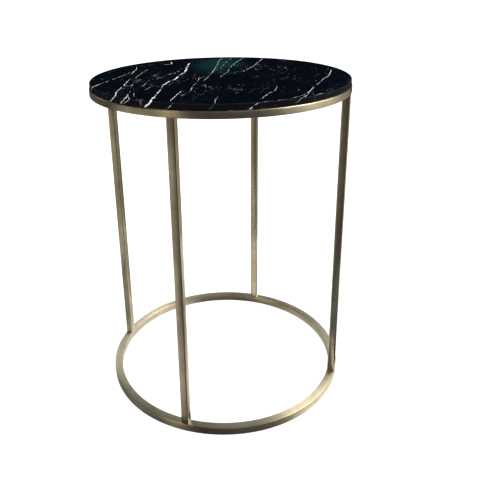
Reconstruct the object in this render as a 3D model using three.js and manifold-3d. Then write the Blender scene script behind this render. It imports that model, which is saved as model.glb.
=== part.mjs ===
// A round side table on an open drum frame: a thin stone disc rests on a rolled
// flat-bar ring, four square tubes carry that ring, and they stand on a second ring
// at the floor. The frame is screwed together and the disc lifts off.
// Millimetres, +Z up. The origin is the middle of the circle that it stands on.

import * as THREE from 'three';
import { mergeVertices } from 'three/addons/utils/BufferGeometryUtils.js';
import Module from 'manifold-3d';

// ---- Driving dimensions ----

const tableHeight = 515;
const frameDiameter = 400;

const slabThickness = 8;
const slabReveal = 1.2; // width of the ring's top that shows around the slab
const slabArris = 0.7; // rounding of the slab's two edges

const barWidth = 12.7; // radial width of both rings, and side of the square legs
const upperRingHeight = 10;
const lowerRingHeight = 12.7;
const barArris = 0.9; // rounding of the long edges of rings and legs
const legWall = 1.5;
const legCount = 4;

const plugLength = 24;
const plugRecess = 0.3; // plug face below the end of its tube
const screwDiameter = 5;
const screwHeadDiameter = 9.4;
const screwHeadAngle = 90; // included angle of the countersink
const screwBite = 16; // length of screw inside its plug
const screwSunk = 0.2; // head below the face of the bar
const hexKey = 3; // across the flats
const hexDepth = 1.9;

const bumperCount = 8;
const bumperDiameter = 8;
const bumperHeight = 0.8;

const stopCount = 4;
const stopDiameter = 14;
const stopHeight = 5;

const glideCount = 4;
const glideDiameter = 10;
const glideHeight = 0.8;

// ---- Clearances ----

const plugClearance = 0.2; // each side, inside the tube
const threadClearance = 0.15; // screw to the thread in its plug, on the radius
const holeClearance = 0.3; // screw to the hole through a ring, on the radius
const stopClearance = 0.5; // slab's stops to the inside of the upper ring
const legSetBack = 0.2; // leg's flat faces inside the rings' round faces

// ---- Sizes that follow ----

const frameRadius = frameDiameter / 2;
const boltCircleRadius = frameRadius - barWidth / 2;
const lowerRingBottom = glideHeight;
const legBottom = lowerRingBottom + lowerRingHeight;
const slabBottom = tableHeight - slabThickness;
const upperRingTop = slabBottom - bumperHeight;
const legTop = upperRingTop - upperRingHeight;
const legLength = legTop - legBottom;
const legSide = barWidth - 2 * legSetBack;
const plugSide = legSide - 2 * legWall - 2 * plugClearance;

// ---- Roundness ----

const ringSegments = 96;
const smallSegments = 20;
const arrisSteps = 2;

// ---- Finishes ----

const finishes = {
  marble: new THREE.MeshStandardMaterial({ color: 0x14171c, roughness: 0.12, metalness: 0 }),
  brass: new THREE.MeshStandardMaterial({ color: 0x8d8468, roughness: 0.38, metalness: 1 }),
  steel: new THREE.MeshStandardMaterial({ color: 0x8c8f93, roughness: 0.35, metalness: 1 }),
  rubber: new THREE.MeshStandardMaterial({ color: 0x1b1b1c, roughness: 0.85, metalness: 0 }),
  silicone: new THREE.MeshStandardMaterial({ color: 0xc9ccce, roughness: 0.4, metalness: 0 }),
};

// ---- Solids ----

const wasm = await Module();
wasm.setup();

function toSolid(geometry) {
  const bare = geometry.clone();
  bare.deleteAttribute('normal');
  bare.deleteAttribute('uv');
  const merged = mergeVertices(bare, 1e-4);
  return new wasm.Manifold(new wasm.Mesh({
    numProp: 3,
    vertProperties: new Float32Array(merged.attributes.position.array),
    triVerts: new Uint32Array(merged.index.array),
  }));
}

function toGeometry(solid) {
  const mesh = solid.getMesh();
  const geometry = new THREE.BufferGeometry();
  geometry.setAttribute('position', new THREE.BufferAttribute(mesh.vertProperties, 3));
  geometry.setIndex(new THREE.BufferAttribute(mesh.triVerts, 1));
  geometry.computeVertexNormals();
  return geometry;
}

function cut(geometry, tools) {
  let solid = toSolid(geometry);
  for (const tool of tools) {
    solid = solid.subtract(toSolid(tool));
  }
  return toGeometry(solid);
}

// Corners of a rectangle with rounded corners, anticlockwise from its right side.
function roundedRectangle(left, right, bottom, top, radius, steps) {
  const corners = [
    [right - radius, top - radius],
    [left + radius, top - radius],
    [left + radius, bottom + radius],
    [right - radius, bottom + radius],
  ];
  const points = [];
  corners.forEach(([x, y], quarter) => {
    for (let step = 0; step <= steps; step += 1) {
      const angle = (quarter + step / steps) * Math.PI / 2;
      points.push(new THREE.Vector2(x + radius * Math.cos(angle), y + radius * Math.sin(angle)));
    }
  });
  return points;
}

// Turns a profile of (radius, height) points about Z.
function turned(profile, segments) {
  const geometry = new THREE.LatheGeometry(profile, segments);
  geometry.rotateX(Math.PI / 2);
  return geometry;
}

// A round bar or hole standing on Z, from bottom to top.
function round(radius, bottom, top, segments) {
  const geometry = new THREE.CylinderGeometry(radius, radius, top - bottom, segments);
  geometry.rotateX(Math.PI / 2);
  geometry.translate(0, 0, (top + bottom) / 2);
  return geometry;
}

// ---- Pieces ----

function slab() {
  const radius = frameRadius - slabReveal;
  const outline = roundedRectangle(-radius, radius, 0, slabThickness, slabArris, arrisSteps);
  const rim = outline.filter((point) => point.x > 0);
  const lower = rim.filter((point) => point.y < slabThickness / 2);
  const upper = rim.filter((point) => point.y > slabThickness / 2);
  const profile = [
    new THREE.Vector2(0, 0),
    ...lower,
    ...upper,
    new THREE.Vector2(0, slabThickness),
  ];
  return turned(profile, ringSegments);
}

// A screw along Z with its head up: the head's rim is at z = 0.
const headRadius = screwHeadDiameter / 2;
const shankRadius = screwDiameter / 2;
const headDepth = (headRadius - shankRadius) / Math.tan(screwHeadAngle * Math.PI / 360);
const tipChamfer = 0.8;

function screwLength(ringHeight) {
  return ringHeight - screwSunk + plugRecess + screwBite;
}

function screw(ringHeight) {
  const length = screwLength(ringHeight);
  const profile = [
    new THREE.Vector2(0, -length),
    new THREE.Vector2(shankRadius - tipChamfer, -length),
    new THREE.Vector2(shankRadius, tipChamfer - length),
    new THREE.Vector2(shankRadius, -headDepth),
    new THREE.Vector2(headRadius, 0),
    new THREE.Vector2(0, 0),
  ];
  const hexRadius = hexKey / 2 / Math.cos(Math.PI / 6);
  const socket = round(hexRadius, -hexDepth, 1, 6);
  return cut(turned(profile, smallSegments), [socket]);
}

// The hole that a screw passes through, with its head at z = 0, facing up.
function countersunkHole(ringHeight) {
  const holeRadius = shankRadius + holeClearance;
  const mouthRadius = headRadius + holeClearance;
  const coneDepth = mouthRadius - holeRadius;
  const overrun = 1;
  const profile = [
    new THREE.Vector2(0, -ringHeight - overrun),
    new THREE.Vector2(holeRadius, -ringHeight - overrun),
    new THREE.Vector2(holeRadius, -coneDepth / Math.tan(screwHeadAngle * Math.PI / 360)),
    new THREE.Vector2(mouthRadius, 0),
    new THREE.Vector2(mouthRadius, overrun),
    new THREE.Vector2(0, overrun),
  ];
  return turned(profile, smallSegments);
}

function legAngles() {
  return Array.from({ length: legCount }, (_, index) => index * 2 * Math.PI / legCount);
}

// A ring standing on z = 0; its screws enter from the top, or from underneath.
function ring(height, screwsFromTop) {
  const inner = frameRadius - barWidth;
  const outline = roundedRectangle(inner, frameRadius, 0, height, barArris, arrisSteps);
  const body = turned([...outline, outline[0].clone()], ringSegments);
  const holes = legAngles().map((angle) => {
    const hole = countersunkHole(height);
    if (screwsFromTop) {
      hole.translate(0, 0, height - screwSunk);
    } else {
      hole.rotateX(Math.PI);
      hole.translate(0, 0, screwSunk);
    }
    hole.translate(boltCircleRadius, 0, 0);
    hole.rotateZ(angle);
    return hole;
  });
  return cut(body, holes);
}

function leg() {
  const half = legSide / 2;
  const outline = new THREE.Shape(roundedRectangle(-half, half, -half, half, barArris, arrisSteps));
  const bore = half - legWall;
  outline.holes.push(new THREE.Path([
    new THREE.Vector2(-bore, -bore),
    new THREE.Vector2(-bore, bore),
    new THREE.Vector2(bore, bore),
    new THREE.Vector2(bore, -bore),
  ]));
  return new THREE.ExtrudeGeometry(outline, { depth: legLength, bevelEnabled: false });
}

// A threaded end plug standing on z = 0.
function plug() {
  const block = new THREE.BoxGeometry(plugSide, plugSide, plugLength);
  block.translate(0, 0, plugLength / 2);
  const thread = round(shankRadius + threadClearance, -1, plugLength + 1, smallSegments);
  return cut(block, [thread]);
}

// ---- Assembly ----

const table = new THREE.Group();

function add(name, geometry, finish, parent = table) {
  const mesh = new THREE.Mesh(geometry, finish);
  mesh.name = name;
  parent.add(mesh);
  return mesh;
}

// A group that puts its pieces at a radius and an angle around the table's axis.
function station(angle, radius) {
  const arm = new THREE.Group();
  arm.rotation.z = angle;
  arm.position.set(radius * Math.cos(angle), radius * Math.sin(angle), 0);
  table.add(arm);
  return arm;
}

add('marble_top', slab(), finishes.marble).position.z = slabBottom;
add('upper_ring', ring(upperRingHeight, true), finishes.brass).position.z = legTop;
add('lower_ring', ring(lowerRingHeight, false), finishes.brass).position.z = lowerRingBottom;

const corners = ['right', 'back', 'left', 'front'];

legAngles().forEach((angle, index) => {
  const label = corners[index] ?? `leg${index + 1}`;
  const arm = station(angle, boltCircleRadius);
  add(`${label}_leg`, leg(), finishes.brass, arm).position.z = legBottom;
  add(`${label}_leg_top_plug`, plug(), finishes.steel, arm).position.z = legTop - plugRecess - plugLength;
  add(`${label}_leg_foot_plug`, plug(), finishes.steel, arm).position.z = legBottom + plugRecess;

  const upperScrew = add(`${label}_top_screw`, screw(upperRingHeight), finishes.steel, arm);
  upperScrew.position.z = upperRingTop - screwSunk;

  const lowerScrew = add(`${label}_foot_screw`, screw(lowerRingHeight), finishes.steel, arm);
  lowerScrew.rotation.x = Math.PI;
  lowerScrew.position.z = lowerRingBottom + screwSunk;
});

// Clear bumpers between ring and slab, kept between the screws.
for (let index = 0; index < bumperCount; index += 1) {
  const arm = station((index + 0.5) * 2 * Math.PI / bumperCount, boltCircleRadius);
  const bumper = round(bumperDiameter / 2, upperRingTop, slabBottom, smallSegments);
  add(`slab_bumper_${index + 1}`, bumper, finishes.silicone, arm);
}

// Rubber stops under the slab, which centre it in the ring.
const stopRadius = frameRadius - barWidth - stopClearance - stopDiameter / 2;
for (let index = 0; index < stopCount; index += 1) {
  const arm = station(index * 2 * Math.PI / stopCount, stopRadius);
  const stop = round(stopDiameter / 2, slabBottom - stopHeight, slabBottom, smallSegments);
  add(`centring_stop_${index + 1}`, stop, finishes.rubber, arm);
}

// Glides under the lower ring, midway between the legs.
for (let index = 0; index < glideCount; index += 1) {
  const arm = station((index + 0.5) * 2 * Math.PI / glideCount, boltCircleRadius);
  const glide = round(glideDiameter / 2, 0, lowerRingBottom, smallSegments);
  add(`floor_glide_${index + 1}`, glide, finishes.rubber, arm);
}

export default table;
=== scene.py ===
import math

import bmesh
import bpy
import numpy as np
from bpy.props import FloatProperty, FloatVectorProperty, IntProperty, PointerProperty
from mathutils import Matrix, Vector


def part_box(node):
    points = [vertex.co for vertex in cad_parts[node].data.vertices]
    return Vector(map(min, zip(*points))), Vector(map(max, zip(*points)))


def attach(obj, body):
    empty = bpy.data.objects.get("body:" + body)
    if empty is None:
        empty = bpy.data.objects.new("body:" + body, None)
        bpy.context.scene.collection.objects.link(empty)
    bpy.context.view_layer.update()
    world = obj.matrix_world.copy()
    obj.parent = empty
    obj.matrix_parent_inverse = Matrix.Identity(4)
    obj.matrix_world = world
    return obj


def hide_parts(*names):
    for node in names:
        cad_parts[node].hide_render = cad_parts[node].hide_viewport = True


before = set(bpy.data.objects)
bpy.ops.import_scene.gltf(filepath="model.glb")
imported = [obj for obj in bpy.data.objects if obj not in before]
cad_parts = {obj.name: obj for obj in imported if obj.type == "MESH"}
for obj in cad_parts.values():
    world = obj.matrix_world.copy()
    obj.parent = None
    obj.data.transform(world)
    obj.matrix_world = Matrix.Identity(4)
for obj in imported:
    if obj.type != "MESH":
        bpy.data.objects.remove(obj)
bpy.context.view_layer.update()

bl_info = {
    "name": "Stone-top drum side table",
    "version": (1, 0, 0),
    "blender": (4, 5, 0),
    "location": "View3D > Sidebar > Side Table",
    "description": "Builds the marble slab, brass drum frame and fittings of a round side table",
    "category": "Object",
}

# ---- Places and sizes read from the frame, in metres ----

LEG_NAMES = ("right", "back", "left", "front")
LEG_COUNT = len(LEG_NAMES)

SLAB_LOW, SLAB_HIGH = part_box("marble_top")
UPPER_LOW, UPPER_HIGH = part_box("upper_ring")
LOWER_LOW, LOWER_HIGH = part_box("lower_ring")
LEG_LOW, LEG_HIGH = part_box("right_leg")
SCREW_LOW, SCREW_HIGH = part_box("right_top_screw")
FOOT_SCREW_LOW, FOOT_SCREW_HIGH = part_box("right_foot_screw")
BUMPER_LOW, BUMPER_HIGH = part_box("slab_bumper_1")
STOP_LOW, STOP_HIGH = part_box("centring_stop_1")
GLIDE_LOW, GLIDE_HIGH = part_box("floor_glide_1")

SLAB_RADIUS = SLAB_HIGH.x
RING_RADIUS = UPPER_HIGH.x
LEG_SIDE = LEG_HIGH.x - LEG_LOW.x
BOLT_CIRCLE = (LEG_HIGH.x + LEG_LOW.x) / 2
BAR_WIDTH = 2 * (RING_RADIUS - BOLT_CIRCLE)
STOP_CIRCLE = (STOP_LOW.x + STOP_HIGH.x) / 2
STOP_RADIUS = (STOP_HIGH.x - STOP_LOW.x) / 2
SCREW_HEAD_RADIUS = (SCREW_HIGH.x - SCREW_LOW.x) / 2
MM = 0.001
LEG_WALL = 1.5 * MM
SCREW_SHANK_RADIUS = 2.5 * MM
HEX_HALF_WIDTH = 1.5 * MM
HEX_DEPTH = 1.9 * MM

# ---- The stone's veins, drawn on the slab's top, in millimetres from its centre ----
# Each vein is (half width, strength, points).

VEINS = (
    (0.43, 0.80, ((-148, -134), (-150, -88), (-150, -40), (-152, -8))),
    (0.51, 0.95, ((-146, -12), (-154, 18), (-165, 44))),
    (0.47, 1.00, ((-84, -182), (-98, -152), (-112, -102), (-123, -68))),
    (0.47, 0.80, ((-66, -190), (-72, -172))),
    (0.39, 0.60, ((-59, -190), (-74, -167), (-81, -146))),
    (0.43, 0.60, ((-62, -172), (-70, -156))),
    (1.50, 0.95, ((-26, -197), (-31, -184), (-33, -171))),
    (0.75, 1.00, ((-33, -171), (-41, -142), (-48, -115), (-56, -91), (-59, -62), (-57, -45))),
    (1.05, 1.00, ((-57, -45), (-62, -20), (-65, -4), (-66, 14))),
    (1.40, 1.00, ((-66, 14), (-76, 48), (-86, 78), (-93, 104))),
    (0.39, 0.55, ((-82, -102), (-91, -64), (-86, -46), (-84, -8), (-78, 10), (-87, 50))),
    (0.39, 0.75, ((5, -198), (-4, -184), (-8, -164), (-15, -124))),
    (0.39, 0.65, ((-2, -124), (-12, -86), (-17, -54), (-28, -20))),
    (0.39, 0.60, ((-12, -42), (-18, 0), (-36, 84), (-52, 144), (-56, 180))),
    (0.39, 0.60, ((3, -10), (-1, 36), (-9, 74), (-18, 146), (-19, 194))),
    (0.31, 0.50, ((-24, 70), (-35, 136), (-40, 184))),
    (0.47, 0.80, ((22, 42), (24, 98), (20, 148), (16, 196))),
    (0.39, 0.65, ((98, -178), (108, -166))),
    (0.47, 0.75, ((104, -142), (105, -106), (108, -92), (105, -62))),
    (0.47, 0.80, (
        (152, -128), (156, -110), (154, -76), (156, -22), (157, 14), (160, 42), (156, 92))),
    (0.35, 0.55, ((141, -132), (150, -112), (154, -88))),
    (0.70, 0.70, ((168, -104), (172, -92))),
    (0.94, 0.75, ((-136, 86), (-128, 84), (-122, 90), (-129, 110))),
    (0.43, 0.50, ((-122, -46), (-132, 0), (-136, 24), (-133, 46))),
    (0.35, 0.50, ((-94, -124), (-102, -92), (-108, -60))),
    (0.39, 0.50, ((-66, -128), (-68, -108))),
    (0.35, 0.40, ((-101, -24), (-107, 14))),
    (0.35, 0.35, ((56, -188), (50, -168), (46, -146))),
    (0.39, 0.45, ((112, -162), (124, -150), (136, -142))),
)
# Flecks of calcite: (cells to the metre, stretch, size in a cell, rarity, strength)
FLECKS = (
    (300.0, 1.8, 0.14, 0.92, 0.17),
    (520.0, 1.4, 0.22, 0.88, 0.06),
    (190.0, 4.5, 0.08, 0.86, 0.22),
)
VEIN_REACH = 7.0  # mm from a vein's middle to where its strength is nothing
VEIN_TAPER = 9.0  # how fast a vein widens from its ends, over its length
VEIN_FADE = 1.6  # how fast it fades towards its reach
VEIN_DIP = (0.95, 0.33)  # how far a vein's trace moves towards -X and -Y per mm of depth
VEIN_LEAN = math.radians(8)  # how far the grain of the stone leans from Y towards -X
CLOUD_LEAN = math.radians(19)  # the same for the green-blue cloud
CLOUD_STRETCH = 1.9  # length of the cloud over its width
CLOUD_MIDDLE = 0.112  # m from the slab's axis towards +Y
CLOUD_CORE, CLOUD_RADIUS = 0.008, 0.062  # m from its middle to where it starts to fade, and ends


# ---- Settings ----


def length_setting(name, description, default, low=0.0, high=0.002):
    return FloatProperty(name=name, description=description, default=default,
                         min=low, max=high, unit="LENGTH")


def facet_setting(name, description, default):
    return IntProperty(name=name, description=description, default=default, min=48, max=512)


def colour_setting(name, description, default):
    return FloatVectorProperty(name=name, description=description, default=default,
                               subtype="COLOR", min=0, max=1)


class TableSizes(bpy.types.PropertyGroup):
    """Edges and facets of the visible pieces"""

    slab_arris: length_setting(
        "Slab arris", "Rounding of the slab's two edges", 0.0009, 0.0001, 0.003)
    slab_segments: facet_setting("Slab segments", "Facets around the slab", 384)
    bar_arris: length_setting(
        "Bar arris", "Rounding of the long edges of the rings", 0.0011, 0.0001, 0.003)
    leg_arris: length_setting(
        "Leg arris", "Rounding of the legs' corners", 0.0018, 0.0001, 0.004)
    leg_crown: length_setting(
        "Leg crown", "How far the middle of a leg's face swells", 0.00023, 0.0, 0.001)
    ring_segments: facet_setting("Ring segments", "Facets around each ring", 288)
    joint_depth: length_setting(
        "Joint depth", "How far a leg's ends reach over the rings' arrises", 0.0005)
    joint_groove: length_setting("Joint groove", "Chamfer on a leg's ends", 0.00015)


class TableFinishes(bpy.types.PropertyGroup):
    """Colours of the table's materials"""

    brass: colour_setting("Brass", "Brushed brass where it is cleanest", (0.61, 0.54, 0.395))
    patina: colour_setting("Patina", "Brass where it has aged", (0.40, 0.345, 0.240))
    stone: colour_setting("Stone", "Ground of the black marble", (0.0010, 0.0016, 0.0032))
    stone_cloud: colour_setting(
        "Stone cloud", "Green-blue cloud in the marble", (0.0048, 0.027, 0.032))
    vein: colour_setting("Vein", "White calcite in the marble", (0.78, 0.80, 0.80))
    floor: colour_setting("Floor", "The studio's floor", (0.86, 0.86, 0.86))


class StudioSettings(bpy.types.PropertyGroup):
    """Camera and lights"""

    azimuth: FloatProperty(
        name="Azimuth", description="Camera's turn around the table, from -Y",
        default=math.radians(18.96), subtype="ANGLE")
    distance: FloatProperty(
        name="Distance", description="Camera to the table's axis, over the floor",
        default=0.9061, unit="LENGTH")
    height: FloatProperty(
        name="Height", description="Camera above the floor", default=0.6737, unit="LENGTH")
    pitch: FloatProperty(
        name="Pitch", description="Camera's tilt below level",
        default=0.3592, subtype="ANGLE")
    yaw: FloatProperty(
        name="Yaw", description="Camera's turn away from the axis",
        default=0.0077, subtype="ANGLE")
    roll: FloatProperty(
        name="Roll", description="Camera's roll about its own axis",
        default=-0.0156, subtype="ANGLE")
    lens: FloatProperty(
        name="Lens", description="Focal length on a 36 mm sensor",
        default=42.18, min=10, max=200)
    shift_x: FloatProperty(name="Shift X", description="Sideways lens shift", default=0.0463)
    shift_y: FloatProperty(name="Shift Y", description="Upright lens shift", default=-0.1283)


# ---- Meshes ----


def new_object(name, mesh):
    piece = bpy.data.objects.new(name, mesh)
    bpy.context.scene.collection.objects.link(piece)
    return piece


def rounded_bar_outline(half_width, half_height, arris, steps):
    """Points around a rectangle with rounded corners, anticlockwise."""
    points = []
    for quarter, (side_x, side_y) in enumerate(((1, 1), (-1, 1), (-1, -1), (1, -1))):
        for step in range(steps + 1):
            angle = (quarter + step / steps) * math.pi / 2
            points.append((
                side_x * (half_width - arris) + arris * math.cos(angle),
                side_y * (half_height - arris) + arris * math.sin(angle),
            ))
    return points


def crowned_bar_outline(half_width, arris, crown, steps, spans):
    """Points around a square with rounded corners and faces that swell a little, anticlockwise."""
    corners = rounded_bar_outline(half_width - crown, half_width - crown, arris, steps)
    flat = half_width - crown - arris
    points = []
    for quarter in range(4):
        points.extend(corners[quarter * (steps + 1):(quarter + 1) * (steps + 1)])
        facing = (quarter + 1) * math.pi / 2
        for span in range(1, spans):
            share = 1 - 2 * span / spans
            out = half_width - crown * share ** 2
            side = flat * share
            points.append((
                out * math.cos(facing) + side * math.sin(facing),
                out * math.sin(facing) - side * math.cos(facing),
            ))
    return points


def turned_mesh(name, profile, segments):
    """A solid turned about Z. The profile runs from the axis at the bottom to the axis at the
    top as (radius, height), and a radius may be a function of the angle."""
    mesh = bmesh.new()
    rings = []
    for radius, height in profile[1:-1]:
        ring = []
        for index in range(segments):
            angle = index * math.tau / segments
            reach = radius(angle) if callable(radius) else radius
            ring.append(mesh.verts.new((reach * math.cos(angle), reach * math.sin(angle), height)))
        rings.append(ring)
    bottom = mesh.verts.new((0, 0, profile[0][1]))
    top = mesh.verts.new((0, 0, profile[-1][1]))
    for index in range(segments):
        after = (index + 1) % segments
        mesh.faces.new((bottom, rings[0][after], rings[0][index]))
        mesh.faces.new((top, rings[-1][index], rings[-1][after]))
        for lower, upper in zip(rings, rings[1:]):
            mesh.faces.new((lower[index], lower[after], upper[after], upper[index]))
    data = bpy.data.meshes.new(name)
    mesh.to_mesh(data)
    mesh.free()
    return data


def smooth_edges(mesh, angle=35):
    """Smooth shading with creases kept sharp."""
    mesh.polygons.foreach_set("use_smooth", [True] * len(mesh.polygons))
    mesh.set_sharp_from_angle(angle=math.radians(angle))


def flat_faces_flat(piece):
    """Gives large faces their own direction, so that only the arrises look round."""
    modifier = piece.modifiers.new("Weighted normals", "WEIGHTED_NORMAL")
    modifier.keep_sharp = True
    modifier.weight = 100
    bake_modifiers(piece)


def bake_modifiers(piece):
    """Replaces a piece's mesh by what its modifiers make, and removes them."""
    graph = bpy.context.evaluated_depsgraph_get()
    graph.update()
    mesh = bpy.data.meshes.new_from_object(piece.evaluated_get(graph), depsgraph=graph)
    piece.modifiers.clear()
    old = piece.data
    piece.data = mesh
    mesh.name = piece.name
    bpy.data.meshes.remove(old)


def vertex_places(mesh):
    places = np.empty(len(mesh.vertices) * 3)
    mesh.vertices.foreach_get("co", places)
    return places.reshape(-1, 3)


def store_vectors(mesh, name, values):
    attribute = mesh.attributes.new(name, "FLOAT_VECTOR", "POINT")
    attribute.data.foreach_set("vector", np.asarray(values, np.float32).ravel())


def finish_piece(piece, body, nodes):
    """A finished piece stands for CAD nodes and moves with their body."""
    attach(piece, body)
    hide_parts(*nodes)


# ---- Grain of the brushed bars ----


def unwound(angle, near):
    """The same angle, on the turn that lies nearest to another one."""
    return angle + math.tau * round((near - angle) / math.tau)


def ring_length(place, centre):
    """Way around a ring, taken on the side of the seam where the face lies."""
    angle = math.atan2(place[1], place[0])
    return unwound(angle, math.atan2(centre[1], centre[0])) * BOLT_CIRCLE


def mark_grain(mesh, along, section, half_width, half_height, length_of):
    """Stores what the brushed metal reads: "grain" runs along the bar, "section" across it from
    -1 to 1, and in "BrushMap" U is the way along the brushing and V the way around the bar."""
    places = vertex_places(mesh)
    across = section(places)
    store_vectors(mesh, "grain", along(places))
    shares = across / (half_width, half_height)
    store_vectors(mesh, "section", np.column_stack((shares, np.zeros(len(places)))))
    turns = np.arctan2(across[:, 1], across[:, 0])
    centres = np.array([face.center for face in mesh.polygons])
    centres_across = section(centres)
    middles = np.arctan2(centres_across[:, 1], centres_across[:, 0])
    layer = mesh.uv_layers.new(name="BrushMap")
    for face, centre, middle in zip(mesh.polygons, centres, middles):
        for loop in face.loop_indices:
            vertex = mesh.loops[loop].vertex_index
            girth = unwound(turns[vertex], middle) * BAR_WIDTH / 2
            layer.data[loop].uv = (length_of(places[vertex], centre), girth)


# ---- Nodes ----


class Nodes:
    """A short way to write nodes and their links."""

    def __init__(self, group):
        self.group = group
        self.nodes = group.nodes
        self.links = group.links

    def feed(self, socket, value):
        if isinstance(value, bpy.types.NodeSocket):
            self.links.new(value, socket)
        elif value is not None:
            socket.default_value = value

    def node(self, kind, settings=None, **sockets):
        made = self.nodes.new(kind)
        for key, value in (settings or {}).items():
            setattr(made, key, value)
        for key, value in sockets.items():
            self.feed(made.inputs[key.replace("_", " ")], value)
        return made

    def math(self, operation, *values, clamp=False):
        made = self.node("ShaderNodeMath", {"operation": operation, "use_clamp": clamp})
        for socket, value in zip(made.inputs, values):
            self.feed(socket, value)
        return made.outputs[0]

    def add(self, first, second, clamp=False):
        return self.math("ADD", first, second, clamp=clamp)

    def less(self, first, second, clamp=False):
        return self.math("SUBTRACT", first, second, clamp=clamp)

    def times(self, first, second):
        return self.math("MULTIPLY", first, second)

    def vector(self, x=0.0, y=0.0, z=0.0):
        return self.node("ShaderNodeCombineXYZ", X=x, Y=y, Z=z).outputs[0]


# ---- Geometry node trees ----


class Tree(Nodes):
    """A geometry node tree with named inputs."""

    def __init__(self, name, sockets):
        super().__init__(bpy.data.node_groups.new(name, "GeometryNodeTree"))
        for label, kind, default in sockets:
            item = self.group.interface.new_socket(
                name=label, in_out="INPUT", socket_type=f"NodeSocket{kind}")
            if default is not None:
                item.default_value = default
        self.group.interface.new_socket(
            name="Geometry", in_out="OUTPUT", socket_type="NodeSocketGeometry")
        self.inputs = self.nodes.new("NodeGroupInput").outputs
        self.result = self.nodes.new("NodeGroupOutput").inputs[0]

    def shape(self, kind, settings=None, **sockets):
        """What a geometry node makes; its kind is the end of the node's name."""
        return self.node(f"GeometryNode{kind}", settings, **sockets).outputs[0]

    def finish(self, geometry, material):
        solid = self.shape("RealizeInstances", Geometry=geometry)
        painted = self.shape("SetMaterial", Geometry=solid, Material=material)
        self.links.new(painted, self.result)
        return self.group


def apply_tree(piece, group, values):
    """Runs a tree on a piece with the given inputs, and keeps the result as a plain mesh."""
    modifier = piece.modifiers.new(group.name, "NODES")
    modifier.node_group = group
    identifiers = {
        item.name: item.identifier
        for item in group.interface.items_tree
        if item.item_type == "SOCKET" and item.in_out == "INPUT"
    }
    for name, value in values.items():
        modifier[identifiers[name]] = value
    bake_modifiers(piece)


def ring_tree(material):
    """A rolled bar: a rounded rectangle swept round a circle, with countersunk holes."""
    tree = Tree("Rolled ring", (
        ("Outer Radius", "Float", 0.2),
        ("Width", "Float", 0.0127),
        ("Height", "Float", 0.0127),
        ("Base", "Float", 0.0),
        ("Arris", "Float", 0.0009),
        ("Segments", "Int", 288),
        ("Holes", "Int", 4),
        ("Hole Radius", "Float", 0.0028),
        ("Mouth Radius", "Float", 0.005),
        ("Mouth Height", "Float", 0.0),
        ("Tip Over", "Float", 0.0),
    ))
    size = tree.inputs
    corner_steps = 5
    middle = tree.less(size["Outer Radius"], tree.times(size["Width"], 0.5))
    path = tree.shape("CurvePrimitiveCircle", {"mode": "RADIUS"},
                      Resolution=size["Segments"], Radius=middle)
    upright = tree.shape("SetCurveNormal", {"mode": "Z_UP"}, Curve=path)
    outline = tree.shape("CurvePrimitiveQuadrilateral", {"mode": "RECTANGLE"},
                         Width=size["Width"], Height=size["Height"])
    rounded = tree.shape("FilletCurve", {"mode": "POLY"},
                         Curve=outline, Count=corner_steps, Radius=size["Arris"])
    bar = tree.shape("CurveToMesh", Curve=upright, Profile_Curve=rounded)
    lift = tree.add(size["Base"], tree.times(size["Height"], 0.5))
    solid = tree.shape("Transform", Geometry=bar, Translation=tree.vector(z=lift))
    stations = tree.shape("MeshCircle", {"fill_type": "NONE"},
                          Vertices=size["Holes"], Radius=middle)

    facets = 40
    drill_length = 0.04
    overlap = 0.0006
    drill = tree.shape("MeshCylinder", {"fill_type": "NGON"},
                       Vertices=facets, Radius=size["Hole Radius"], Depth=drill_length)
    mouth_depth = tree.less(size["Mouth Radius"], size["Hole Radius"])
    cone = tree.shape("MeshCone", {"fill_type": "NGON"}, Vertices=facets,
                      Radius_Top=tree.add(size["Mouth Radius"], overlap),
                      Radius_Bottom=tree.less(size["Hole Radius"], overlap),
                      Depth=tree.add(mouth_depth, 2 * overlap))
    bottom = tree.add(mouth_depth, overlap)
    sunk = tree.shape("Transform", Geometry=cone, Rotation=tree.vector(z=math.pi / facets),
                      Translation=tree.vector(z=tree.times(bottom, -1.0)))
    # A small turn keeps the tools' edges off the bar's own, so that the cuts come out clean.
    turn = math.radians(2.0)
    for tool in (drill, sunk):
        tipped = tree.shape("Transform", Geometry=tool,
                            Rotation=tree.vector(x=size["Tip Over"], z=turn))
        lifted = tree.shape("Transform", Geometry=tipped,
                            Translation=tree.vector(z=size["Mouth Height"]))
        copies = tree.shape("InstanceOnPoints", Points=stations, Instance=lifted)
        tools = tree.shape("RealizeInstances", Geometry=copies)
        solid = tree.shape("MeshBoolean", {"operation": "DIFFERENCE", "solver": "EXACT"},
                           Mesh_1=solid, Mesh_2=tools)
    return tree.finish(solid, material)


def circle_tree(name, material):
    """Copies of one piece at equal turns around the table's axis."""
    tree = Tree(name, (
        ("Piece", "Object", None),
        ("Count", "Int", 4),
        ("Radius", "Float", 0.1),
        ("First Angle", "Float", 0.0),
        ("Height", "Float", 0.0),
        ("Tip Over", "Float", 0.0),
        ("Spin", "Float", 0.0),
        ("Seed", "Int", 1),
    ))
    size = tree.inputs
    stations = tree.shape("MeshCircle", {"fill_type": "NONE"},
                          Vertices=size["Count"], Radius=size["Radius"])
    turned = tree.shape("Transform", Geometry=stations,
                        Rotation=tree.vector(z=size["First Angle"]),
                        Translation=tree.vector(z=size["Height"]))
    piece = tree.node("GeometryNodeObjectInfo", {"transform_space": "ORIGINAL"},
                      Object=size["Piece"])
    spin = tree.node("FunctionNodeRandomValue", {"data_type": "FLOAT"}, Seed=size["Seed"])
    turn = tree.times(spin.outputs[1], size["Spin"])
    copies = tree.shape("InstanceOnPoints", Points=turned, Instance=piece.outputs["Geometry"],
                        Rotation=tree.vector(x=size["Tip Over"], z=turn))
    return tree.finish(copies, material)


# ---- Material nodes ----


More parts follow.
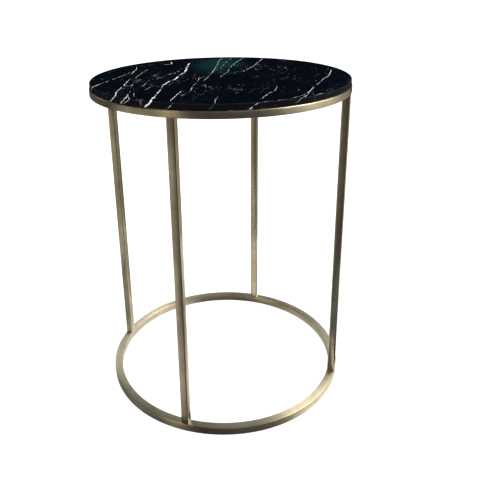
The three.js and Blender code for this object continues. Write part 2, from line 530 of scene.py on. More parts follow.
class Paint(Nodes):
    """The nodes of a material or a world."""

    def __init__(self, name, store=None):
        self.material = (bpy.data.materials if store is None else store).new(name)
        self.material.use_nodes = True
        super().__init__(self.material.node_tree)
        self.shader = self.nodes.get("Principled BSDF")

    def set(self, **sockets):
        for key, value in sockets.items():
            self.feed(self.shader.inputs[key.replace("_", " ")], value)

    def object_place(self):
        return self.node("ShaderNodeTexCoord").outputs["Object"]

    def drawn_out(self, vector, stretch, lean):
        """Coordinates in which a texture is drawn out along Y, leaning towards -X."""
        return self.node("ShaderNodeMapping", {"vector_type": "TEXTURE"}, Vector=vector,
                         Rotation=(0.0, 0.0, lean), Scale=(1.0, stretch, 1.0)).outputs[0]

    def noise(self, vector, scale, detail=2.0, roughness=0.5, warp=0.0, w=None):
        dimensions = "3D" if w is None else "4D"
        made = self.node("ShaderNodeTexNoise", {"noise_dimensions": dimensions}, Vector=vector,
                         Scale=scale, Detail=detail, Roughness=roughness, Distortion=warp)
        if w is not None:
            self.feed(made.inputs["W"], w)
        return made.outputs["Fac"]

    def steps(self, value, low, high, start=0.0, end=1.0):
        """Runs smoothly from start to end as the value goes from low to high."""
        return self.node("ShaderNodeMapRange", {"interpolation_type": "SMOOTHSTEP"}, Value=value,
                         From_Min=low, From_Max=high, To_Min=start, To_Max=end).outputs["Result"]

    def mix(self, share, first, second, blend="MIX"):
        made = self.node("ShaderNodeMix", {"data_type": "RGBA", "blend_type": blend})
        self.feed(made.inputs["Factor"], share)
        colours = [socket for socket in made.inputs if socket.type == "RGBA"]
        for socket, value in zip(colours, (first, second)):
            linked = isinstance(value, bpy.types.NodeSocket)
            self.feed(socket, value if linked else (*value, 1.0))
        return [socket for socket in made.outputs if socket.type == "RGBA"][0]

    def attribute(self, name):
        made = self.node("ShaderNodeAttribute",
                         {"attribute_type": "GEOMETRY", "attribute_name": name})
        return self.node("ShaderNodeSeparateXYZ", Vector=made.outputs["Vector"]).outputs

    def bump(self, height, strength, depth):
        made = self.node("ShaderNodeBump", Strength=strength, Distance=depth, Height=height)
        self.links.new(made.outputs[0], self.shader.inputs["Normal"])


def brushed_brass(finishes, name, roughness, anisotropy):
    """Brass brushed along each bar, aged unevenly, and lighter where the arrises are rubbed."""
    paint = Paint(name)
    grain = paint.attribute("grain")
    section = paint.attribute("section")
    along_grain = 26.0
    across_grain = 3.1
    streak_place = paint.vector(
        paint.times(grain["X"], along_grain),
        paint.times(paint.add(grain["Y"], grain["Z"]), along_grain),
        paint.times(section["X"], across_grain))
    streak_w = paint.times(section["Y"], across_grain)
    coarse_streak = paint.noise(streak_place, 2.2, 3, 0.6, w=streak_w)
    fine_streak = paint.noise(streak_place, 9.0, 3, 0.7, w=streak_w)
    place = paint.object_place()
    cloud = paint.noise(place, 9.0, 4, 0.55, 0.6)
    blotch = paint.noise(place, 45.0, 3, 0.6, 0.4)

    edge = paint.add(paint.less(1.0, paint.math("ABSOLUTE", section["X"])),
                     paint.less(1.0, paint.math("ABSOLUTE", section["Y"])))
    edge = paint.add(edge, paint.times(blotch, 0.12))
    rubbed = paint.steps(edge, 0.06, 0.28, 1.0, 0.0)

    age = paint.add(paint.times(cloud, 0.75), paint.times(blotch, 0.35))
    age = paint.add(age, paint.times(coarse_streak, 0.30))
    aged = paint.steps(age, 0.50, 0.92)
    aged = paint.less(aged, paint.times(rubbed, 0.45), clamp=True)
    colour = paint.mix(aged, finishes.brass, finishes.patina)
    tone = paint.steps(fine_streak, 0.32, 0.68, 0.78, 1.12)
    shade = paint.node("ShaderNodeCombineColor", Red=tone, Green=tone, Blue=tone).outputs[0]
    colour = paint.mix(1.0, colour, shade, "MULTIPLY")
    stain = (0.42, 0.32, 0.22)
    stained = paint.steps(paint.noise(place, 17.0, 2, 0.5, 0.3), 0.48, 0.72, 0.0, 0.20)
    colour = paint.mix(stained, colour, stain)

    age_roughness = paint.times(aged, 0.08)
    streak_roughness = paint.times(paint.less(fine_streak, 0.5), 0.16)
    rough = paint.add(paint.add(age_roughness, streak_roughness), roughness)
    tangent = paint.node("ShaderNodeTangent", {"direction_type": "UV_MAP", "uv_map": "BrushMap"})
    quarter_turn = 0.25
    paint.set(Base_Color=colour, Metallic=1.0, Roughness=rough, Anisotropic=anisotropy,
              Anisotropic_Rotation=quarter_turn, Tangent=tangent.outputs[0])
    scratch_depth = 0.00006
    relief = paint.add(fine_streak, paint.times(coarse_streak, 0.4))
    paint.bump(relief, 0.22, scratch_depth)
    return paint.material


def marble_veins(paint, place, grain, layers):
    """Strength of the drawn veins, trembling, broken up along the grain and interrupted."""
    tremor = paint.noise(place, 95.0, 3, 0.6)
    crumble = paint.noise(place, 330.0, 3, 0.7)
    waver = paint.add(paint.times(paint.less(tremor, 0.5), 4.4),
                      paint.times(paint.less(crumble, 0.5), 1.5))
    strands = paint.noise(grain, 300.0, 3, 0.65)
    ragged = paint.times(paint.less(0.53, strands), 4.6)
    gaps = paint.steps(paint.noise(place, 75.0, 3, 0.6), 0.39, 0.49, 1.3, 0.0)
    ragged = paint.add(ragged, gaps)
    veins = 0.0
    for layer in range(layers):
        field = paint.attribute(f"vein_{layer}")
        off = paint.math("ABSOLUTE", paint.add(field["X"], waver))
        share = paint.add(paint.math("DIVIDE", off, field["Y"]), ragged)
        lit = paint.times(paint.steps(share, 0.75, 1.25, 1.0, 0.0), field["Z"])
        veins = paint.math("MAXIMUM", veins, lit)
    return veins


def marble_hairlines(paint, place, grain):
    """Faint short lines along the grain, in bands."""
    crest = paint.math("ABSOLUTE", paint.less(paint.noise(grain, 44.0, 2, 0.55, 0.35), 0.5))
    lines = paint.steps(crest, 0.003, 0.011, 1.0, 0.0)
    bands = paint.steps(paint.noise(place, 15.0, 2, 0.5), 0.46, 0.58)
    dashes = paint.steps(paint.noise(place, 120.0, 2, 0.6), 0.48, 0.56)
    strength = 0.13
    return paint.times(paint.times(lines, paint.times(bands, dashes)), strength)


def marble_flecks(paint, place, scale, stretch, size, rarity, strength):
    """Specks of calcite, crowded in some places and missing in others."""
    cells = paint.node("ShaderNodeTexVoronoi", Scale=scale,
                       Vector=paint.drawn_out(place, stretch, VEIN_LEAN))
    tint = paint.node("ShaderNodeSeparateColor", Color=cells.outputs["Color"]).outputs
    crowd = paint.steps(paint.noise(place, 19.0, 3, 0.6), 0.36, 0.62, 0.16, -0.10)
    chosen = paint.steps(tint["Red"], paint.add(crowd, rarity), paint.add(crowd, rarity + 0.03))
    reach = paint.times(paint.add(tint["Green"], 0.35), size)
    away = paint.math("DIVIDE", cells.outputs["Distance"], reach)
    speck = paint.steps(away, 0.7, 1.2, 1.0, 0.0)
    return paint.times(paint.times(speck, chosen), strength)


def black_marble(finishes, layers):
    """Polished black marble: drawn veins, broken up along the grain, hairlines and flecks."""
    paint = Paint("Polished black marble")
    place = paint.object_place()
    grain_stretch = 3.6
    grain = paint.drawn_out(place, grain_stretch, VEIN_LEAN)
    white = paint.math("MAXIMUM", marble_veins(paint, place, grain, layers),
                       marble_hairlines(paint, place, grain))
    for fleck in FLECKS:
        white = paint.math("MAXIMUM", white, marble_flecks(paint, place, *fleck), clamp=True)

    patch = paint.drawn_out(place, CLOUD_STRETCH, CLOUD_LEAN)
    middle = paint.node("ShaderNodeVectorMath", {"operation": "DISTANCE"}, Vector=patch)
    middle.inputs[1].default_value = (0.0, CLOUD_MIDDLE / CLOUD_STRETCH, SLAB_HIGH.z)
    glow = paint.steps(middle.outputs["Value"], CLOUD_CORE, CLOUD_RADIUS, 1.0, 0.0)
    billow = paint.steps(paint.noise(place, 16.0, 4, 0.6, 0.5), 0.30, 0.62)
    ground = paint.mix(paint.times(billow, glow), finishes.stone, finishes.stone_cloud)
    haze = paint.steps(paint.noise(grain, 14.0, 4, 0.6), 0.45, 0.75, 0.0, 0.5)
    blue_black = (0.0022, 0.0040, 0.0085)
    ground = paint.mix(haze, ground, blue_black)
    colour = paint.mix(white, ground, finishes.vein)

    across, along, up = paint.node("ShaderNodeSeparateXYZ", Vector=place).outputs
    sawn = paint.steps(up, SLAB_LOW.z + 0.1 * MM, SLAB_LOW.z + 0.4 * MM, 1.0, 0.0)
    saw_grey = (0.05, 0.052, 0.056)
    colour = paint.mix(paint.times(sawn, 0.6), colour, saw_grey)
    radius = paint.math("SQRT", paint.add(paint.times(across, across), paint.times(along, along)))
    honed = paint.steps(radius, SLAB_RADIUS - 1.6 * MM, SLAB_RADIUS - 0.8 * MM, 0.0, 0.75)
    polish = paint.add(paint.times(white, 0.10), 0.05)
    polish = paint.add(polish, paint.times(sawn, 0.5))
    polish = paint.add(polish, honed, clamp=True)
    paint.set(Base_Color=colour, Roughness=polish, IOR=1.5, Specular_IOR_Level=0.12)
    paint.bump(paint.less(1.0, white), 0.06, 0.1 * MM)
    return paint.material


def plated_steel():
    """Zinc plated steel of screws and plugs, with fine turning marks and a faint spangle."""
    paint = Paint("Zinc plated steel")
    place = paint.object_place()
    spangle = paint.noise(place, 900.0, 3, 0.6)
    turned = paint.node("ShaderNodeMapping", Vector=place, Scale=(1.0, 1.0, 8.0)).outputs[0]
    marks = paint.noise(turned, 700.0, 2, 0.5)
    colour = paint.mix(spangle, (0.42, 0.43, 0.46), (0.62, 0.62, 0.60))
    rough = paint.add(paint.times(marks, 0.22), 0.22)
    paint.set(Base_Color=colour, Metallic=1.0, Roughness=rough)
    paint.bump(marks, 0.15, 0.05 * MM)
    return paint.material


def black_rubber():
    """Moulded black rubber with a dusty, finely pitted skin."""
    paint = Paint("Black rubber")
    place = paint.object_place()
    pits = paint.noise(place, 1400.0, 3, 0.65)
    dust = paint.steps(paint.noise(place, 160.0, 3, 0.6), 0.45, 0.75, 0.0, 0.5)
    colour = paint.mix(dust, (0.018, 0.018, 0.019), (0.07, 0.068, 0.064))
    rough = paint.add(paint.times(pits, 0.2), 0.62)
    paint.set(Base_Color=colour, Roughness=rough)
    paint.bump(pits, 0.3, 0.1 * MM)
    return paint.material


def clear_silicone():
    """Clear bumper silicone, clouded by use."""
    paint = Paint("Clear silicone")
    place = paint.object_place()
    cloudy = paint.noise(place, 500.0, 3, 0.6)
    colour = paint.mix(cloudy, (0.55, 0.57, 0.58), (0.74, 0.75, 0.74))
    rough = paint.add(paint.times(cloudy, 0.25), 0.25)
    paint.set(Base_Color=colour, Roughness=rough, IOR=1.41, Transmission_Weight=0.5)
    return paint.material


# The studio as polished metal sees it. Each glow is (azimuth, half width, low, high, colour,
# strength): azimuths in degrees from the camera's, to its right; low and high are elevations in
# degrees for the air, and distances from the table's axis in metres for the floor. The floor's
# glows are painted pools of light over a painted dark floor, which only reflections see.

AIR_GLOWS = (
    (96, 22, 5, 30, (1.0, 0.96, 0.88), 2.1),
    (93, 28, 34, 62, (1.0, 0.97, 0.90), 9.0),
    (135, 20, 32, 60, (0.96, 0.98, 1.0), 4.0),
    (20, 34, 32, 60, (0.95, 1.0, 1.1), 0.60),
    (-46, 8, 8, 32, (1.0, 0.92, 0.64), 4.0),
    (-165, 45, 22, 36, (0.95, 0.99, 1.0), 0.7),
    (180, 44, 20, 32, (0.95, 0.99, 1.0), 1.3),
    (180, 40, 36, 60, (0.92, 0.97, 1.06), 0.08),
    (0, 200, 64, 96, (0.98, 1.0, 0.98), 0.38),
)
# Painted pools of light on the floor, emitted for reflections only.
PAINTED_FLOOR_GLOWS = (
    (0, 200, -1.0, 0.160, (1.0, 0.96, 0.90), 1.0),
    (-120, 40, 0.165, 0.19, (0.96, 1.0, 0.98), 1.30),
    (118, 26, 0.170, 0.50, (1.0, 0.96, 0.88), 0.80),
    (-165, 62, 0.205, 0.50, (0.96, 1.0, 0.98), 0.42),
    (-74, 34, 0.205, 0.40, (0.96, 1.0, 1.0), 0.34),
    (-36, 16, 0.225, 0.47, (1.0, 0.98, 0.96), 0.50),
    (60, 24, 0.200, 0.215, (1.0, 0.96, 0.88), 2.3),
    (25, 20, 0.225, 0.50, (0.75, 0.92, 1.25), 0.14),
    (104, 36, 0.45, 9.0, (1.0, 0.92, 0.70), 0.50),
    (-66, 32, 0.45, 2.0, (1.0, 0.97, 0.86), 0.33),
    (-66, 32, 0.45, 0.70, (1.0, 0.97, 0.88), 0.22),
    (-66, 32, 1.20, 2.0, (1.0, 0.97, 0.84), 0.22),
    (-78, 12, 1.8, 9.0, (1.0, 0.92, 0.70), 1.10),
    (-18, 9, 0.60, 1.9, (1.0, 0.93, 0.86), 0.10),
    (-125, 30, 0.9, 9.0, (1.0, 0.94, 0.74), 0.08),
)
DARK_AIR = (0.0022, 0.0032, 0.0050)
# Painted shade: the floor's colour in reflections where no painted glow lies.
PAINTED_DARK_FLOOR = (0.046, 0.045, 0.043)


def glow_sum(paint, along, height, glows, base, soft_side, soft_up):
    """Adds soft-edged glows over a dark base, by azimuth and height."""
    total = base
    for azimuth, half, low, high, colour, strength in glows:
        turn = paint.math("WRAP", paint.less(along, math.radians(azimuth)), math.pi, -math.pi)
        off = paint.math("ABSOLUTE", turn)
        edge = math.radians(half)
        share = paint.steps(off, edge - soft_side / 2, edge + soft_side / 2, 1.0, 0.0)
        rise = paint.steps(height, low - soft_up / 2, low + soft_up / 2)
        fall = paint.steps(height, high - soft_up / 2, high + soft_up / 2, 1.0, 0.0)
        share = paint.times(share, paint.times(rise, fall))
        lit = tuple(channel * strength for channel in colour)
        total = paint.mix(share, total, paint.mix(1.0, total, lit, "ADD"))
    return total


def azimuth_of(paint, split, view):
    """Angle from the camera's side of the table, positive to the camera's right."""
    turned = paint.math("ARCTAN2", split["X"], paint.times(split["Y"], -1.0))
    return paint.math("WRAP", paint.less(turned, view), math.pi, -math.pi)


def studio_floor(finishes, view):
    """A pale sweep, evenly bright for the camera; polished metal sees painted pools of light from
    the sides over a painted dark floor.
    """
    paint = Paint("Pale studio floor")
    place = paint.object_place()
    split = paint.node("ShaderNodeSeparateXYZ", Vector=place).outputs
    distance = paint.node("ShaderNodeVectorMath", {"operation": "LENGTH"}, Vector=place)
    soft_side, soft_edge = 0.30, 0.01
    glow = glow_sum(paint, azimuth_of(paint, split, view), distance.outputs["Value"],
                    PAINTED_FLOOR_GLOWS, PAINTED_DARK_FLOOR, soft_side, soft_edge)
    mirrored = paint.node("ShaderNodeLightPath").outputs["Is Glossy Ray"]
    mottle = paint.noise(place, 6.0, 3, 0.5)
    base = Vector(finishes.floor)
    pale = paint.mix(mottle, base * 0.985, base * 1.015)
    # Glossy rays see the painted pools of light and painted dark floor instead of the pale floor.
    seen = paint.mix(mirrored, pale, glow)
    grey, black = (0.35, 0.35, 0.35), (0.0, 0.0, 0.0)
    paint.set(Base_Color=paint.mix(mirrored, grey, black), Roughness=0.9,
              Specular_IOR_Level=0.0, Emission_Color=seen, Emission_Strength=1.0)
    return paint.material


def studio_air(view):
    """The air around the table: pale for the camera, dark with soft boxes for polished metal."""
    paint = Paint("Studio air", bpy.data.worlds)
    direction = paint.node("ShaderNodeTexCoord").outputs["Generated"]
    split = paint.node("ShaderNodeSeparateXYZ", Vector=direction).outputs
    elevation = paint.times(paint.math("ARCSINE", split["Z"]), math.degrees(1))
    soft_side, soft_edge = 0.26, 10.0
    glow = glow_sum(paint, azimuth_of(paint, split, view), elevation,
                    AIR_GLOWS, DARK_AIR, soft_side, soft_edge)
    ray = paint.node("ShaderNodeLightPath").outputs
    daylight, white = (0.55, 0.56, 0.58), (1.0, 1.0, 1.0)
    soft = paint.mix(ray["Is Diffuse Ray"], glow, daylight)
    seen = paint.mix(ray["Is Camera Ray"], soft, white)
    background = paint.nodes["Background"]
    paint.feed(background.inputs["Color"], seen)
    background.inputs["Strength"].default_value = 1.0
    return paint.material


# ---- The slab's veins ----


def smooth_path(points, steps=8):
    """A Catmull-Rom curve through the points."""
    given = np.array(points, float)
    first = 2 * given[0] - given[1]
    last = 2 * given[-1] - given[-2]
    ends = np.vstack((first, given, last))
    path = []
    for before, start, stop, after in zip(ends, ends[1:], ends[2:], ends[3:]):
        for step in range(steps):
            t = step / steps
            path.append(0.5 * (
                2 * start + (stop - before) * t
                + (2 * before - 5 * start + 4 * stop - after) * t * t
                + (3 * start - before - 3 * stop + after) * t ** 3))
    path.append(given[-1])
    return np.array(path)


def vein_field(places, path):
    """Signed distance from each place to the path, and the share of the path's length there."""
    nearest = np.full(len(places), 1e9)
    signed = np.zeros(len(places))
    share = np.zeros(len(places))
    lengths = np.linalg.norm(np.diff(path, axis=0), axis=1)
    travelled = np.concatenate(([0.0], np.cumsum(lengths)))
    for index, (start, stop) in enumerate(zip(path, path[1:])):
        way = stop - start
        t = np.clip((places - start) @ way / (way @ way), 0, 1)
        off = places - start - t[:, None] * way
        distance = np.linalg.norm(off, axis=1)
        closer = distance < nearest
        side = np.sign(way[0] * off[:, 1] - way[1] * off[:, 0])
        nearest[closer] = distance[closer]
        signed[closer] = (side * distance)[closer]
        share[closer] = ((travelled[index] + t * lengths[index]) / travelled[-1])[closer]
    return signed, share


def layered(paths, apart):
    """Shares the paths out over layers, so that those in one layer stay apart."""
    layers = []
    for path in paths:
        for layer in layers:
            gaps = (np.abs(vein_field(path[2], other[2])[0]).min() for other in layer)
            if min(gaps) > apart:
                layer.append(path)
                break
        else:
            layers.append([path])
    return layers


def draw_veins(mesh):
    """Stores each layer of veins as (signed distance, half width, strength), in millimetres,
    and returns how many layers there are."""
    places = vertex_places(mesh) / MM
    depth = SLAB_HIGH.z / MM - places[:, 2:]
    places = places[:, :2] + depth * VEIN_DIP
    apart = 2.2 * VEIN_REACH
    layers = layered(
        [(half, strength, smooth_path(points)) for half, strength, points in VEINS], apart)
    for index, layer in enumerate(layers):
        field = np.tile((VEIN_REACH, 1.0, 0.0), (len(places), 1))
        nearest = np.full(len(places), 1e9)
        for half_width, strength, path in layer:
            signed, share = vein_field(places, path)
            distance = np.abs(signed)
            closer = distance < nearest
            nearest[closer] = distance[closer]
            taper = np.clip(np.minimum(share, 1 - share) * VEIN_TAPER + 0.25, 0, 1)
            fade = np.clip(VEIN_FADE * (1 - distance / VEIN_REACH), 0, 1)
            made = np.column_stack((signed, half_width * (0.5 + 0.5 * taper), strength * fade))
            field[closer] = made[closer]
        store_vectors(mesh, f"vein_{index}", field)
    return len(layers)


# ---- Pieces ----


def rounded_rim(inner, low, high, arris, steps):
    """Profile of an upright edge, with both of its corners rounded, from the bottom up."""
    angles = [step / steps * math.pi / 2 for step in range(steps + 1)]
    foot = [(inner + arris * math.sin(a), low + arris * (1 - math.cos(a))) for a in angles]
    head = [(inner + arris * math.cos(a), high - arris * (1 - math.sin(a))) for a in angles]
    return foot + head


def slab_profile(sizes):
    """Axis to axis: sawn underside, rounded rim, and closely ringed polished top."""
    inner = SLAB_RADIUS - sizes.slab_arris
    under_rings = 24
    top_rings = 104
    under = [(inner * ring / under_rings, SLAB_LOW.z) for ring in range(1, under_rings)]
    rim = rounded_rim(inner, SLAB_LOW.z, SLAB_HIGH.z, sizes.slab_arris, 6)
    top = [(inner * ring / top_rings, SLAB_HIGH.z) for ring in range(top_rings - 1, 0, -1)]
    return [(0, SLAB_LOW.z), *under, *rim, *top, (0, SLAB_HIGH.z)]


class SIDETABLE_OT_slab(bpy.types.Operator):
    """Make the polished marble slab"""

    bl_idname = "side_table.slab"
    bl_label = "Marble Slab"

    def execute(self, context):
        sizes = context.scene.side_table_sizes
        mesh = turned_mesh("marble_slab", slab_profile(sizes), sizes.slab_segments)
        piece = new_object("marble_slab", mesh)
        smooth_edges(mesh)
        flat_faces_flat(piece)
        layers = draw_veins(piece.data)
        piece.data.materials.append(black_marble(context.scene.side_table_finishes, layers))
        finish_piece(piece, "top", ["marble_top"])
        return {"FINISHED"}


class SIDETABLE_OT_rings(bpy.types.Operator):
    """Roll the upper and lower rings and countersink their holes"""

    bl_idname = "side_table.rings"
    bl_label = "Upper and Lower Rings"

    def execute(self, context):
        sizes = context.scene.side_table_sizes
        brass = brushed_brass(context.scene.side_table_finishes, "Brushed brass, rings",
                              roughness=0.36, anisotropy=0.93)
        group = ring_tree(brass)
        clearance = 0.3 * MM
        rings = (
            ("upper_ring", UPPER_LOW, UPPER_HIGH, SCREW_HIGH.z, 0.0),
            ("lower_ring", LOWER_LOW, LOWER_HIGH, FOOT_SCREW_LOW.z, math.pi),
        )
        for node, low, high, mouth, tip in rings:
            piece = new_object(f"brass_{node}", bpy.data.meshes.new(node))
            apply_tree(piece, group, {
                "Outer Radius": RING_RADIUS,
                "Width": BAR_WIDTH,
                "Height": high.z - low.z,
                "Base": low.z,
                "Arris": sizes.bar_arris,
                "Segments": sizes.ring_segments,
                "Holes": LEG_COUNT,
                "Hole Radius": SCREW_SHANK_RADIUS + clearance,
                "Mouth Radius": SCREW_HEAD_RADIUS + clearance,
                "Mouth Height": mouth,
                "Tip Over": tip,
            })
            smooth_edges(piece.data)
            middle = (low.z + high.z) / 2
            mark_grain(
                piece.data,
                lambda places: places * (1, 1, 0),
                lambda places, middle=middle: np.column_stack((
                    np.hypot(places[:, 0], places[:, 1]) - BOLT_CIRCLE, places[:, 2] - middle)),
                BAR_WIDTH / 2, (high.z - low.z) / 2, ring_length)
            finish_piece(piece, "frame", [node])
        return {"FINISHED"}


def leg_mesh(name, low, high, sizes):
    """A square tube with rounded arrises, slightly swollen faces and finely chamfered ends."""
    half = (high.x - low.x) / 2
    centre = (low + high) / 2
    foot, head = low.z - sizes.joint_depth, high.z + sizes.joint_depth
    groove = sizes.joint_groove
    bore_corner = 0.3 * MM
    corner_steps, face_spans = 5, 8
    outside, drawn_in, inside = (
        crowned_bar_outline(half - inset, corner, crown, corner_steps, face_spans)
        for inset, corner, crown in (
            (0.0, sizes.leg_arris, sizes.leg_crown),
            (groove, sizes.leg_arris, sizes.leg_crown),
            (LEG_WALL, bore_corner, 0.0),
        )
    )
    sections = (
        (inside, foot), (drawn_in, foot), (outside, foot + groove),
        (outside, head - groove), (drawn_in, head), (inside, head),
    )
    mesh = bmesh.new()
    loops = [
        [mesh.verts.new((centre.x + x, centre.y + y, z)) for x, y in outline]
        for outline, z in sections
    ]
    for lower, upper in zip(loops, loops[1:] + loops[:1]):
        count = len(lower)
        for index in range(count):
            after = (index + 1) % count
            mesh.faces.new((lower[index], lower[after], upper[after], upper[index]))
    bmesh.ops.recalc_face_normals(mesh, faces=mesh.faces)
    data = bpy.data.meshes.new(name)
    mesh.to_mesh(data)
    mesh.free()
    return data


class SIDETABLE_OT_legs(bpy.types.Operator):
    """Make the four square legs"""

    bl_idname = "side_table.legs"
    bl_label = "Legs"

    def execute(self, context):
        sizes = context.scene.side_table_sizes
        brass = brushed_brass(context.scene.side_table_finishes, "Brushed brass, legs",
                              roughness=0.22, anisotropy=0.60)
        streaks_apart = 0.7
        for index, name in enumerate(LEG_NAMES):
            low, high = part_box(f"{name}_leg")
            mesh = leg_mesh(f"brass_{name}_leg", low, high, sizes)
            mesh.materials.append(brass)
            piece = new_object(f"brass_{name}_leg", mesh)
            smooth_edges(mesh)
            centre = (low + high) / 2
            mark_grain(
                piece.data,
                lambda places, index=index: np.column_stack((
                    np.full(len(places), streaks_apart * index),
                    np.zeros(len(places)), places[:, 2])),
                lambda places, centre=centre: places[:, :2] - (centre.x, centre.y),
                LEG_SIDE / 2, LEG_SIDE / 2, lambda place, other: place[2])
            finish_piece(piece, "frame", [f"{name}_leg"])
        return {"FINISHED"}


def hexagon(angle):
    """Radius of the hex socket at an angle."""
    sixth = math.pi / 3
    return HEX_HALF_WIDTH / math.cos(angle % sixth - sixth / 2)


def screw_mesh(name, length):
    """A countersunk screw with a hex socket and a threaded shank; its head is at z = 0."""
    radius = SCREW_SHANK_RADIUS
    head = SCREW_HEAD_RADIUS
    lip = 0.15 * MM
    pitch = 0.8 * MM
    root = radius - 0.45 * MM
    point = 0.6 * MM
    plain = 8 * MM
    profile = [(0, -length), (root - point, -length), (root, point - length)]
    for turn in range(int((length - plain) / pitch)):
        base = (turn + 1) * pitch - length
        profile += [(root, base), (radius, base + 0.4 * pitch), (radius, base + 0.5 * pitch),
                    (root, base + 0.9 * pitch)]
    profile += [
        (radius, radius - head - 0.4 * MM),
        (radius, radius - head),
        (head, -lip),
        (head - lip, 0),
        (hexagon, 0),
        (hexagon, -HEX_DEPTH),
        (0, -HEX_DEPTH - 0.4 * MM),
    ]
    sides = 36
    return turned_mesh(name, profile, sides)


def pad_mesh(name, radius, height, arris, dish=0.0):
    """A round pad standing on z = 0, with soft edges and, where asked, a dished top."""
    flat, hollow = 0.62 * radius, 0.5 * radius
    profile = [(0, 0), *rounded_rim(radius - arris, 0, height, arris, 4)]
    profile += [(flat, height), (hollow, height - dish), (0, height - dish)]
    sides = 48
    return turned_mesh(name, profile, sides)


def set_round(name, template, material, values, body, nodes):
    """Sets copies of a template mesh around the table and finishes them as one piece."""
    smooth_edges(template)
    model = new_object(f"{name}_template", template)
    piece = new_object(name, bpy.data.meshes.new(name))
    apply_tree(piece, circle_tree(name, material), {"Piece": model, **values})
    bpy.data.objects.remove(model)
    finish_piece(piece, body, nodes)


class SIDETABLE_OT_screws(bpy.types.Operator):
    """Set the eight countersunk screws and finish the threaded plugs"""

    bl_idname = "side_table.screws"
    bl_label = "Screws and Plugs"

    def execute(self, context):
        steel = plated_steel()
        top_length = SCREW_HIGH.z - SCREW_LOW.z
        foot_length = FOOT_SCREW_HIGH.z - FOOT_SCREW_LOW.z
        rows = (
            ("top_screw", top_length, SCREW_HIGH.z, 0.0, 3),
            ("foot_screw", foot_length, FOOT_SCREW_LOW.z, math.pi, 8),
        )
        for node, length, seat, tip, seed in rows:
            set_round(
                f"{node}s", screw_mesh(f"{node}s_mesh", length), steel,
                {"Count": LEG_COUNT, "Radius": BOLT_CIRCLE, "Height": seat,
                 "Tip Over": tip, "Spin": math.tau, "Seed": seed},
                "frame", [f"{leg}_{node}" for leg in LEG_NAMES])
        for leg in LEG_NAMES:
            for end in ("top", "foot"):
                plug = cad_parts[f"{leg}_leg_{end}_plug"]
                plug.data.materials.clear()
                plug.data.materials.append(steel)
        return {"FINISHED"}


class SIDETABLE_OT_pads(bpy.types.Operator):
    """Set the bumpers, the centring stops and the floor glides"""

    bl_idname = "side_table.pads"
    bl_label = "Bumpers, Stops and Glides"

    def execute(self, context):
        rubber = black_rubber()
        bumper_radius = (BUMPER_HIGH.x - BUMPER_LOW.x) / 2
        glide_radius = (GLIDE_HIGH.x - GLIDE_LOW.x) / 2
        bumpers = count_nodes("slab_bumper_")
        stops = count_nodes("centring_stop_")
        glides = count_nodes("floor_glide_")
        set_round(
            "slab_bumpers",
            pad_mesh("bumper", bumper_radius, BUMPER_HIGH.z - BUMPER_LOW.z, arris=0.3 * MM),
            clear_silicone(),
            {"Count": bumpers, "Radius": BOLT_CIRCLE, "First Angle": math.pi / bumpers,
             "Height": BUMPER_LOW.z},
            "frame", [f"slab_bumper_{n + 1}" for n in range(bumpers)])
        set_round(
            "centring_stops",
            pad_mesh("stop", STOP_RADIUS, STOP_HIGH.z - STOP_LOW.z,
                     arris=0.8 * MM, dish=1.2 * MM),
            rubber,
            {"Count": stops, "Radius": STOP_CIRCLE, "Height": STOP_HIGH.z, "Tip Over": math.pi},
            "top", [f"centring_stop_{n + 1}" for n in range(stops)])
        set_round(
            "floor_glides",
            pad_mesh("glide", glide_radius, GLIDE_HIGH.z - GLIDE_LOW.z, arris=0.25 * MM),
            rubber,
            {"Count": glides, "Radius": BOLT_CIRCLE, "First Angle": math.pi / glides,
             "Height": GLIDE_LOW.z},
            "frame", [f"floor_glide_{n + 1}" for n in range(glides)])
        return {"FINISHED"}


def count_nodes(stem):
    return sum(name.startswith(stem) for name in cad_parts)


# ---- Studio ----


def soft_sun(view):
    """One very wide light from above, a little from the right; metal doesn't reflect it."""
    data = bpy.data.lights.new("Overhead light", "SUN")
    data.energy = 3.0
    data.angle = math.radians(110)
    light = bpy.data.objects.new("Overhead light", data)
    bpy.context.scene.collection.objects.link(light)
    lean = math.radians(14)
    light.matrix_world = Matrix.Rotation(view + math.pi / 2, 4, "Z") @ Matrix.Rotation(lean, 4, "X")
    light.visible_glossy = False
    light.visible_camera = False


def around(azimuth, radius, height):
    """A place given by its turn from -Y towards +X, as the camera's is."""
    return Vector((math.sin(azimuth) * radius, -math.cos(azimuth) * radius, height))


def place_camera(scene, studio):
    """Stands the camera off the table's axis, tilted down and turned by small angles."""
    data = bpy.data.cameras.new("Camera")
    data.sensor_width = 36.0
    data.lens = studio.lens
    data.shift_x = studio.shift_x
    data.shift_y = studio.shift_y
    data.clip_start = 0.01
    camera = bpy.data.objects.new("Camera", data)
    scene.collection.objects.link(camera)
    heading = studio.azimuth - studio.yaw
    turn = Matrix.Rotation(heading, 4, "Z") @ Matrix.Rotation(math.pi / 2 - studio.pitch, 4, "X")
    camera.matrix_world = (
        Matrix.Translation(around(studio.azimuth, studio.distance, studio.height))
        @ turn @ Matrix.Rotation(studio.roll, 4, "Z"))
    scene.camera = camera


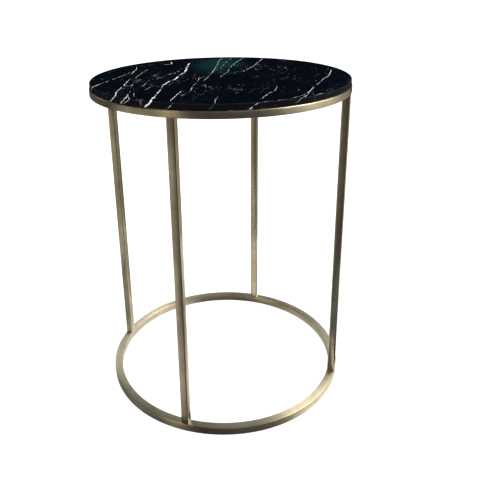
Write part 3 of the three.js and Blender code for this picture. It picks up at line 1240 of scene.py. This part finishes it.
class SIDETABLE_OT_studio(bpy.types.Operator):
    """Lay the floor, set the lights and stand the camera"""

    bl_idname = "side_table.studio"
    bl_label = "Studio"

    def execute(self, context):
        scene = context.scene
        studio = scene.side_table_studio
        floor_mesh = bpy.data.meshes.new("studio_floor")
        reach = 60.0
        floor_mesh.from_pydata(
            [(-reach, -reach, 0), (reach, -reach, 0), (reach, reach, 0), (-reach, reach, 0)],
            [], [(0, 1, 2, 3)])
        floor_mesh.materials.append(studio_floor(scene.side_table_finishes, studio.azimuth))
        new_object("studio_floor", floor_mesh)
        scene.world = studio_air(studio.azimuth)
        soft_sun(studio.azimuth)
        scene.view_settings.view_transform = "Standard"
        place_camera(scene, studio)
        return {"FINISHED"}


class SIDETABLE_PT_panel(bpy.types.Panel):
    """Buttons for the pieces of the table"""

    bl_idname = "SIDETABLE_PT_panel"
    bl_label = "Side Table"
    bl_space_type = "VIEW_3D"
    bl_region_type = "UI"
    bl_category = "Side Table"

    def draw(self, context):
        scene = context.scene
        for group in (scene.side_table_sizes, scene.side_table_finishes, scene.side_table_studio):
            box = self.layout.box()
            for key in group.__annotations__:
                box.prop(group, key)
        for operator in OPERATORS:
            self.layout.operator(operator.bl_idname)


SETTINGS = {
    "side_table_sizes": TableSizes,
    "side_table_finishes": TableFinishes,
    "side_table_studio": StudioSettings,
}
OPERATORS = (
    SIDETABLE_OT_studio,
    SIDETABLE_OT_slab,
    SIDETABLE_OT_rings,
    SIDETABLE_OT_legs,
    SIDETABLE_OT_screws,
    SIDETABLE_OT_pads,
)


def register():
    for cls in (*SETTINGS.values(), *OPERATORS, SIDETABLE_PT_panel):
        bpy.utils.register_class(cls)
    for name, cls in SETTINGS.items():
        setattr(bpy.types.Scene, name, PointerProperty(type=cls))


def unregister():
    for name in SETTINGS:
        delattr(bpy.types.Scene, name)
    for cls in reversed((*SETTINGS.values(), *OPERATORS, SIDETABLE_PT_panel)):
        bpy.utils.unregister_class(cls)


def main():
    register()
    bpy.ops.side_table.studio()
    bpy.ops.side_table.slab()
    bpy.ops.side_table.rings()
    bpy.ops.side_table.legs()
    bpy.ops.side_table.screws()
    bpy.ops.side_table.pads()


if __name__ == "__main__":
    main()
